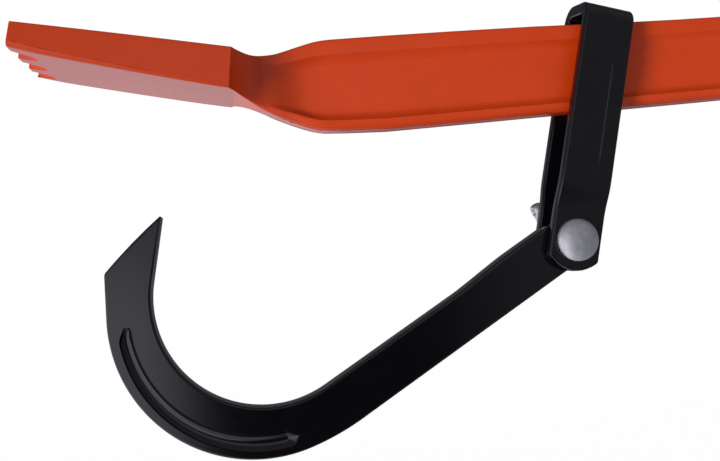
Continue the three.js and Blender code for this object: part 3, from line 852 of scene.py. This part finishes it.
def make_stirrup_strap():
    sections = []
    for side, up, turn, end in strap_line():
        out = Vector((0, math.cos(turn), math.sin(turn)))
        thickness = lerp(STRAP_THICKNESS, STRAP_BEND_THICKNESS, math.sin(turn))
        points = []
        for across, depth in strap_section(thickness, crease_height(up, turn)):
            place = Vector((across, side, up)) + out * depth
            if end:
                arc = STRAP_FOOT_RADIUS - STRAP_FOOT_REACH - math.sqrt(STRAP_FOOT_RADIUS ** 2 - across ** 2)
                place.z = lerp(FOOT_TOP, arc, end)
            points.append(place)
        sections.append(points)
    sections = foot_end(sections[0])[::-1] + sections[1:-1] + foot_end(sections[-1])
    bm = bmesh.new()
    draw_out(bm, [placed(points, STRAP_MATRIX) for points in sections])
    piece = finished("forged_strap", bm, BLACK, "strap", ["stirrup_strap"])
    bore_through(piece, 4 * FOOT_OUTER)


# Log hook. It is drawn with its arm level and the pin at the origin, bowl towards -X, then turned.

def on_arc(centre, radius, angle):
    return centre + radius * Vector((math.cos(angle), math.sin(angle)))


def run_on(centre, radius, angle, length):
    """The place that lies a length straight on from an arc's end."""
    return on_arc(centre, radius, angle) + length * Vector((math.sin(angle), -math.cos(angle)))


HOOK_MATRIX = Matrix.Translation(PIVOT) @ Matrix.Rotation(-HOOK_ANGLE, 4, "Y")
INNER_CENTRE = Vector((-ARM_LENGTH, ARM_RISE + BOWL_INNER_RADIUS))
OUTER_CENTRE = Vector((-ARM_LENGTH - BOWL_OUTER_SHIFT, BOWL_OUTER_RADIUS - BOWL_DROP))
HEEL_CENTRE = on_arc(OUTER_CENTRE, BOWL_OUTER_RADIUS - HEEL_RADIUS, HEEL_START)
NO_GROOVE = (NO_GROOVE_HALF_WIDTH, 0, NO_GROOVE_PLACE)


def bowl_line():
    """Pairs of edge points round the bowl. The outer edge turns on a wider arc at the heel."""
    pairs = []
    bowl_length = (HEEL_START - BOWL_OUTER_END) * BOWL_OUTER_RADIUS
    bowl_share = bowl_length / (bowl_length + (BOWL_ARM_END - HEEL_START) * HEEL_RADIUS)
    for t in spread(0, 1, BOWL_STEPS):
        inner = on_arc(INNER_CENTRE, BOWL_INNER_RADIUS, lerp(BOWL_INNER_END, BOWL_ARM_END, t))
        if t < bowl_share:
            angle = lerp(BOWL_OUTER_END, HEEL_START, t / bowl_share)
            outer = on_arc(OUTER_CENTRE, BOWL_OUTER_RADIUS, angle)
        else:
            angle = lerp(HEEL_START, BOWL_ARM_END, (t - bowl_share) / (1 - bowl_share))
            outer = on_arc(HEEL_CENTRE, HEEL_RADIUS, angle)
        pairs.append((inner, outer))
    return pairs


def hook_line():
    """Pairs of inner and outer edge points from the point to the eye, in X and Z."""
    pairs = []
    for share in POINT_SHARES:
        inner = run_on(INNER_CENTRE, BOWL_INNER_RADIUS, BOWL_INNER_END, POINT_LENGTH * share)
        outer = run_on(OUTER_CENTRE, BOWL_OUTER_RADIUS, BOWL_OUTER_END, CHEEK_LENGTH * share)
        pairs.append((inner, outer))
    pairs += bowl_line()
    arm_start = pairs[-1][1]
    for t in spread(0, 1, 8)[1:]:
        inner = Vector((lerp(-ARM_LENGTH, EYE_BLEND_START, t), ARM_RISE))
        pairs.append((inner, arm_start.lerp(Vector((EYE_BLEND_START, -ARM_DROP)), t)))
    for x in spread(EYE_BLEND_START, -EYE_LENGTH, 10)[1:]:
        grown = smoothstep(EYE_BLEND_START - EYE_BLEND_EASE, EYE_BLEND_EASE - EYE_LENGTH, x)
        pairs.append((Vector((x, lerp(ARM_RISE, EYE_RADIUS, grown))), Vector((x, -ARM_DROP))))
    for x in spread(-EYE_LENGTH, -EYE_ARC_START, 4)[1:]:
        pairs.append((Vector((x, EYE_RADIUS)), Vector((x, -ARM_DROP))))
    return pairs


def hook_section(inner, outer, groove=NO_GROOVE, drawn=0):
    """Rounded flat section from edge to edge, with a groove in both faces, and drawn in all round."""
    width = (outer - inner).length
    along = (outer - inner) / width
    half = HOOK_THICKNESS / 2
    radius = HOOK_EDGE_RADIUS
    groove_half, groove_depth, from_outer = groove
    place = width - from_outer
    turns = spread(0, QUARTER, 5)
    corner = [(radius * (1 - math.cos(turn)), half - radius * (1 - math.sin(turn))) for turn in turns]
    outline = corner + [(lerp(radius, place - groove_half, t), half) for t in BEFORE_GROOVE_SHARES]
    for t in spread(-1, 1, 12):
        outline.append((place + groove_half * t, half - groove_depth * (1 - t * t) ** HOOK_GROOVE_CURVE))
    outline += [(lerp(place + groove_half, width - radius, t), half) for t in AFTER_GROOVE_SHARES]
    outline += [(width - d, y) for d, y in reversed(corner)]
    mirrored = [(d, -y) for d, y in reversed(outline)]
    points = []
    for d, y in outline + mirrored:
        at = inner + along * lerp(d, width / 2, 2 * drawn / width)
        points.append(Vector((at.x, -lerp(y, 0, 2 * drawn / HOOK_THICKNESS), at.y)))
    return points


def groove_at(inner, outer):
    """Half the groove's width across this section, its depth, and how far it lies from the outer edge."""
    if inner.x >= BOWL_MARGIN - ARM_LENGTH:
        return NO_GROOVE
    # The groove's arc crosses the section where the distance to the bowl's centre is the groove's radius
    along = (outer - inner).normalized()
    offset = inner - OUTER_CENTRE
    lead = offset.dot(along)
    over = offset.length_squared - HOOK_GROOVE_RADIUS ** 2
    crossing = inner + along * (math.sqrt(max(lead * lead - over, 0)) - lead)
    from_outer = min((outer - crossing).length, (outer - inner).length - 2 * HOOK_GROOVE_HALF_WIDTH)
    out = crossing - OUTER_CENTRE
    angle = math.atan2(out.y, out.x) % (2 * math.pi)
    beyond = max(HOOK_GROOVE_START - angle, angle - HOOK_GROOVE_FINISH, 0) * HOOK_GROOVE_RADIUS
    room = math.sqrt(max(1 - (beyond / HOOK_GROOVE_HALF_WIDTH) ** 2, 0))
    return max(HOOK_GROOVE_HALF_WIDTH * room, NO_GROOVE_HALF_WIDTH), HOOK_GROOVE_DEPTH * room, from_outer


def rounded_point(pairs):
    """Rings that round off the slanted end between point and cheek, from the end inwards."""
    tip_in, tip_out = pairs[0]
    root_in, root_out = pairs[len(POINT_SHARES)]
    rings = []
    for turn in spread(QUARTER, 0, 3):
        back = HOOK_TIP_ROUNDING * (1 - math.sin(turn))
        edge_in = tip_in.lerp(root_in, back / POINT_LENGTH)
        edge_out = tip_out.lerp(root_out, back / CHEEK_LENGTH)
        rings.append(hook_section(edge_in, edge_out, drawn=HOOK_TIP_ROUNDING * (1 - math.cos(turn))))
    return rings


def bulge_point(sections, outward, full):
    """Bulges the slanted end between its corners: the first sections in full, and as many more fading."""
    for index, section in enumerate(sections[:2 * full]):
        corner_in, corner_out = section[0], section[len(section) // 2 - 1]
        across = corner_out - corner_in
        fading = 1 - max(index - full, 0) / full
        for p in section:
            share = min(max((p - corner_in).dot(across) / across.length_squared, 0), 1)
            p += outward * HOOK_END_BULGE * fading * 4 * share * (1 - share)


def eye_end():
    """Rings that end the eye in an arc about the pin."""
    flat = hook_section(Vector((0, EYE_RADIUS)), Vector((0, -ARM_DROP)))
    rings = []
    for share in EYE_ARC_SHARES:
        ring = []
        for p in flat:
            arc = math.sqrt(max(EYE_RADIUS ** 2 - p.z ** 2, 0))
            ring.append(Vector((lerp(-EYE_ARC_START, arc, share), p.y, p.z)))
        rings.append(ring)
    return rings


def make_log_hook():
    pairs = hook_line()
    point = rounded_point(pairs)
    sections = point + [hook_section(*pair, groove_at(*pair)) for pair in pairs[1:]]
    edge = pairs[0][1] - pairs[0][0]
    bulge_point(sections, Vector((edge.y, 0, -edge.x)).normalized(), len(point))
    sections += eye_end()
    bm = bmesh.new()
    draw_out(bm, [placed(points, HOOK_MATRIX) for points in sections])
    piece = finished("forged_hook", bm, BLACK, "hook", ["log_hook"])
    bore_through(piece, 2 * HOOK_THICKNESS)


# Pivot pin, washer and split pin

def turned(profile):
    """Spins a profile of radius and Y places about the pin's axis."""
    bm = bmesh.new()
    verts = [bm.verts.new(PIVOT + Vector((radius, y, 0))) for radius, y in profile]
    edges = [bm.edges.new(pair) for pair in zip(verts, verts[1:])]
    bmesh.ops.spin(
        bm, geom=verts + edges, cent=PIVOT, axis=(0, 1, 0), angle=2 * math.pi,
        steps=SPIN_STEPS, use_merge=True,
    )
    return bm


def make_pivot_pin():
    dome = PIN_HEAD_HEIGHT - PIN_HEAD_RIM
    edge = PIN_HEAD_EDGE_RADIUS
    chamfer, ease = PIN_TAIL_CHAMFER, PIN_TAIL_EASE
    profile = [(0, HEAD_SEAT - PIN_HEAD_HEIGHT)]
    for turn in spread(0, QUARTER, 16)[1:]:
        profile.append((PIN_HEAD_RADIUS * math.sin(turn), HEAD_SEAT - PIN_HEAD_RIM - dome * math.cos(turn)))
    for turn in spread(0, QUARTER, 4)[1:]:
        radius = PIN_HEAD_RADIUS - edge * (1 - math.cos(turn))
        profile.append((radius, HEAD_SEAT - edge * (1 - math.sin(turn))))
    profile += [(PIN_RADIUS + edge, HEAD_SEAT), (PIN_RADIUS, HEAD_SEAT), (PIN_RADIUS, HEAD_SEAT + edge)]
    profile += [(PIN_RADIUS, y) for y in spread(HEAD_SEAT + PIN_SHANK_START, TAIL_END - PIN_TAIL_MARGIN, 12)]
    profile += [(PIN_RADIUS, TAIL_END - chamfer), (PIN_RADIUS - ease, TAIL_END - chamfer + ease)]
    profile += [(PIN_RADIUS - chamfer + ease, TAIL_END - ease), (PIN_RADIUS - chamfer, TAIL_END)]
    profile += [(PIN_RADIUS - PIN_TAIL_MARGIN, TAIL_END), (0, TAIL_END)]
    finished("domed_pin", turned(profile), ZINC, "pin", ["pivot_pin"])


def make_washer():
    edge = WASHER_EDGE_RADIUS
    inner, outer = PIN_BORE_RADIUS + edge, WASHER_RADIUS - edge
    near, far = WASHER_NEAR + edge, WASHER_FAR - edge
    profile = []
    for quarter, (radius, y) in enumerate(((inner, near), (outer, near), (outer, far), (inner, far)), 2):
        for turn in spread(quarter * QUARTER, (quarter + 1) * QUARTER, 3):
            profile.append((radius + edge * math.cos(turn), y + edge * math.sin(turn)))
    profile.append(profile[0])
    finished("pin_washer", turned(profile), ZINC, "pin", ["pivot_washer"])


def bezier(points, count):
    """Points on a Bezier curve of any order."""
    curve = []
    for t in spread(0, 1, count):
        level = [Vector(p) for p in points]
        while len(level) > 1:
            level = [a.lerp(b, t) for a, b in zip(level, level[1:])]
        curve.append(level[0])
    return curve


def split_pin_line(side):
    """Centre line of one leg and its half of the eye: along the pin's axis, and out from it."""
    half_wire = SPLIT_PIN_THICKNESS / 2
    offset = side * (SPLIT_PIN_THICKNESS * SPLIT_PIN_PRESSED_SHARE - half_wire)
    flank = side * (SPLIT_PIN_EYE_WIDTH / 2 - half_wire)
    crown = SPLIT_PIN_REACH - half_wire
    eye_centre = SPLIT_PIN_REACH - SPLIT_PIN_EYE_WIDTH / 2
    eye_start = eye_centre - SPLIT_PIN_NECK_LENGTH
    neck_start = eye_start + SPLIT_PIN_NECK_START_SHARE * SPLIT_PIN_NECK_LENGTH
    neck_end = eye_centre - SPLIT_PIN_NECK_END_SHARE * SPLIT_PIN_NECK_LENGTH
    brow = lerp(eye_centre, crown, SPLIT_PIN_CROWN_SHARE)
    prong = -PIN_RADIUS - SEAT_GAP
    tip = prong - SPLIT_PIN_PRONG_LENGTH
    bent = SPLIT_PIN_SPREAD if side > 0 else 0
    line = bezier([(offset + bent, tip), (offset, (prong + tip) / 2), (offset, prong)], 8)
    line += [Vector((offset, d)) for d in spread(prong, eye_start, 4)[1:]]
    neck = [(offset, eye_start), (offset, neck_start), (flank, neck_end), (flank, eye_centre)]
    eye = [(flank, eye_centre), (flank, brow), (side * half_wire, crown), (0, crown)]
    line += bezier(neck, 10)[1:] + bezier(eye, 12)[1:]
    return line


def make_split_pin():
    """Both legs are flattened wire, and lie pressed together."""
    out_dir = Vector((math.cos(SPLIT_PIN_ANGLE), 0, math.sin(SPLIT_PIN_ANGLE)))
    wide_dir = Vector((0, 1, 0)).cross(out_dir)
    centre = PIVOT + Vector((0, SPLIT_PIN_PLACE, 0))
    bm = bmesh.new()
    for side in (1, -1):
        line = split_pin_line(side)
        sections = []
        for i, point in enumerate(line):
            ahead = (line[min(i + 1, len(line) - 1)] - line[max(i - 1, 0)]).normalized()
            out = side * Vector((ahead.y, -ahead.x))
            size = SPLIT_PIN_TIP_SHARE if i == 0 else 1
            ring = []
            for turn in spread(0, 2 * math.pi, 24)[:-1]:
                wide = SPLIT_PIN_WIDTH / 2 * math.cos(turn) * size
                flat = point + out * (SPLIT_PIN_THICKNESS / 2 * math.sin(turn) * size)
                ring.append(centre + Vector((0, flat.x, 0)) + out_dir * flat.y + wide_dir * wide)
            sections.append(ring)
        draw_out(bm, sections)
    finished("bent_split_pin", bm, ZINC, "pin", ["split_pin"])


# Grip sleeve

def rounded_ring(x, height, width, radius):
    ring = []
    for quarter, (y_side, z_side) in enumerate(((1, 1), (1, -1), (-1, -1), (-1, 1))):
        for turn in spread(quarter * QUARTER, (quarter + 1) * QUARTER, 9):
            y = y_side * (width / 2 - radius) + radius * math.sin(turn)
            z = z_side * (height / 2 - radius) + radius * math.cos(turn)
            ring.append(Vector((x, y, z)))
    return ring


def grip_outside(x, swelling, drawn=0):
    """The sleeve's outside at one place, swollen out from the bar or drawn in at an end."""
    height = BAR_HEIGHT_AT_GRIP + 2 * (GRIP_WALL + swelling - drawn)
    width = BAR_THICKNESS + 2 * (GRIP_SIDE_WALL + swelling - drawn)
    return rounded_ring(x, height, width, GRIP_CORNER_RADIUS - drawn)


def rib_height(along):
    if not GRIP_RIBS_START <= along <= GRIP_RIBS_END:
        return 0
    pitch = (GRIP_RIBS_END - GRIP_RIBS_START) / GRIP_RIB_COUNT
    wave = 0.5 - 0.5 * math.cos(2 * math.pi * (along - GRIP_RIBS_START) / pitch)
    return GRIP_RIB_HEIGHT * wave ** GRIP_RIB_CURVE


def make_grip():
    swell = smooth_curve([(place * GRIP_LENGTH, GRIP_SWELL * share) for place, share in GRIP_SWELL_SHARES])
    bore = (GRIP_BORE_HEIGHT, GRIP_BORE_WIDTH, BAR_EDGE_RADIUS)
    mouth = (GRIP_BORE_HEIGHT + GRIP_MOUTH_FLARE, GRIP_BORE_WIDTH + GRIP_MOUTH_FLARE, BAR_EDGE_RADIUS)
    bore_places = (BAR_HIGH.x + SEAT_GAP, GRIP_LOW.x + GRIP_BORE_STEP, GRIP_LOW.x + GRIP_MOUTH_DEPTH)
    sections = [rounded_ring(x, *bore) for x in bore_places]
    sections.append(rounded_ring(GRIP_LOW.x, *mouth))
    for turn in spread(0, QUARTER, 5):
        x = GRIP_LOW.x + GRIP_MOUTH_ROUNDING * (1 - math.cos(turn))
        sections.append(grip_outside(x, swell(0), GRIP_MOUTH_ROUNDING * (1 - math.sin(turn))))
    for along in spread(GRIP_STEPS_START, GRIP_LENGTH - GRIP_STEPS_MARGIN, GRIP_STEPS):
        sections.append(grip_outside(GRIP_LOW.x + along, swell(along) + rib_height(along)))
    last = swell(GRIP_LENGTH - GRIP_END_ROUNDING)
    for turn in spread(0, QUARTER, 8):
        x = GRIP_HIGH.x - GRIP_END_ROUNDING * (1 - math.sin(turn))
        sections.append(grip_outside(x, last, GRIP_END_ROUNDING * (1 - math.cos(turn))))
    bm = bmesh.new()
    draw_out(bm, sections)
    finished("ribbed_grip", bm, RUBBER, "lever", ["handle_grip"])


# Camera, floor and light

def make_camera():
    data = bpy.data.cameras.new("camera")
    data.sensor_width = SENSOR_WIDTH
    data.lens = FOCAL_PIXELS / IMAGE_WIDTH * SENSOR_WIDTH
    camera = bpy.data.objects.new("camera", data)
    back = CAMERA_RIGHT.cross(CAMERA_UP)
    turn = Matrix((CAMERA_RIGHT, CAMERA_UP, back)).transposed()
    camera.matrix_world = Matrix.Translation(CAMERA_PLACE) @ turn.to_4x4()
    bpy.context.scene.collection.objects.link(camera)
    bpy.context.scene.camera = camera


def make_floor():
    """Pale floor that shows and takes shadows. The light it throws back is part of the studio's light."""
    bm = bmesh.new()
    bmesh.ops.create_grid(bm, x_segments=1, y_segments=1, size=FLOOR_REACH)
    bmesh.ops.translate(bm, verts=bm.verts, vec=(0, 0, FLOOR_Z))
    floor = new_object("floor", bm)
    floor.visible_diffuse = False
    floor.visible_glossy = False
    floor.visible_shadow = False
    material, shader = finish_material("pale_floor")
    shader.inputs["Base Color"].default_value = (FLOOR_PALE, FLOOR_PALE, FLOOR_PALE, 1)
    shader.inputs["Emission Color"].default_value = WHITE
    shader.inputs["Emission Strength"].default_value = FLOOR_GLOW
    shader.inputs["Roughness"].default_value = FLOOR_ROUGHNESS
    shader.inputs["Specular IOR Level"].default_value = 0
    floor.data.materials.append(material)


def make_key_lights():
    """A tall soft light at the far left in front, as two lights. The mirrored panel shows it in the gloss."""
    for name, (source, power) in KEY_LIGHTS.items():
        data = bpy.data.lights.new(name, "SUN")
        data.energy = power
        data.angle = KEY_SPREAD
        light = bpy.data.objects.new(name, data)
        light.rotation_euler = Vector(source).to_track_quat("Z", "Y").to_euler()
        light.visible_glossy = False
        bpy.context.scene.collection.objects.link(light)


def give_way(tree, source, band, before, after):
    """One light that gives way smoothly to another, as the source goes through a band."""
    start, finish = band
    made = node(
        tree, "ShaderNodeMapRange", interpolation_type="SMOOTHSTEP", Value=source,
        From_Min=start, From_Max=finish, To_Min=before, To_Max=after,
    )
    return made.outputs["Result"]


def soft_light(tree, x, y, z):
    """Even light on the object from each direction, besides the key light."""
    front = give_way(tree, x, SIDE_BAND, FRONT_LIGHT, SIDE_LIGHT)
    around = give_way(tree, y, BACK_BAND, front, BACK_LIGHT)
    around = give_way(tree, z, TOP_BAND, around, TOP_LIGHT)
    below = give_way(tree, z, UNDER_BAND, FLOOR_LIGHT, UNDER_LIGHT)
    return give_way(tree, z, FLOOR_BAND, around, below)


def mirrored_light(tree, x, y, z):
    """What the glossy coats mirror: a bright panel at the left, dim at the right and above, pale below."""
    ahead = give_way(tree, z, MIRRORED_AHEAD_BAND, MIRRORED_DARK, MIRRORED_AHEAD)
    right = give_way(tree, x, MIRRORED_RIGHT_BAND, ahead, MIRRORED_RIGHT)
    panel = give_way(tree, x, MIRRORED_LEFT_BAND, MIRRORED_LEFT, MIRRORED_FAR_LEFT)
    raised = give_way(tree, x, MIRRORED_CORNER_BAND, MIRRORED_RAISED, MIRRORED_CORNER)
    panel = give_way(tree, z, MIRRORED_RAISED_BAND, panel, raised)
    front = give_way(tree, x, MIRRORED_PANEL_BAND, right, panel)
    front = give_way(tree, z, MIRRORED_TOP_BAND, front, MIRRORED_TOP)
    floor_ahead = give_way(tree, x, MIRRORED_FLOOR_SIDE_BAND, MIRRORED_LEFT_FLOOR, MIRRORED_FLOOR)
    front = give_way(tree, z, MIRRORED_FLOOR_BAND, front, floor_ahead)
    floor_behind = give_way(tree, x, MIRRORED_FAR_BACK_BAND, MIRRORED_BACK, MIRRORED_FAR_BACK)
    wall = give_way(tree, z, MIRRORED_WALL_TOP_BAND, MIRRORED_WALL, MIRRORED_DIM)
    wall = give_way(tree, x, MIRRORED_WALL_SIDE_BAND, wall, MIRRORED_DIM)
    behind = give_way(tree, z, MIRRORED_BACK_FLOOR_BAND, wall, floor_behind)
    return give_way(tree, y, MIRRORED_BACK_BAND, front, behind)


def make_world():
    """White backdrop to the camera, and the studio's light by direction."""
    world = bpy.data.worlds.new("studio")
    bpy.context.scene.world = world
    world.use_nodes = True
    world.cycles.sampling_method = "NONE"
    tree = world.node_tree
    background = next(n for n in tree.nodes if n.type == "BACKGROUND")
    direction = node(tree, "ShaderNodeTexCoord").outputs["Generated"]
    axes = node(tree, "ShaderNodeSeparateXYZ", Vector=direction).outputs
    path = node(tree, "ShaderNodeLightPath").outputs
    light = blend(tree, path["Is Glossy Ray"], soft_light(tree, *axes), mirrored_light(tree, *axes))
    feed(tree, background.inputs["Strength"], blend(tree, path["Is Camera Ray"], light, 1))
    tint = blend(tree, path["Is Glossy Ray"], WHITE, MIRRORED_TINT, data_type="RGBA")
    feed(tree, background.inputs["Color"], tint)


make_lever_forging()
make_stirrup_strap()
make_log_hook()
make_pivot_pin()
make_washer()
make_split_pin()
make_grip()

bpy.context.scene.view_settings.view_transform = "Standard"
make_camera()
make_floor()
make_world()
make_key_lights()
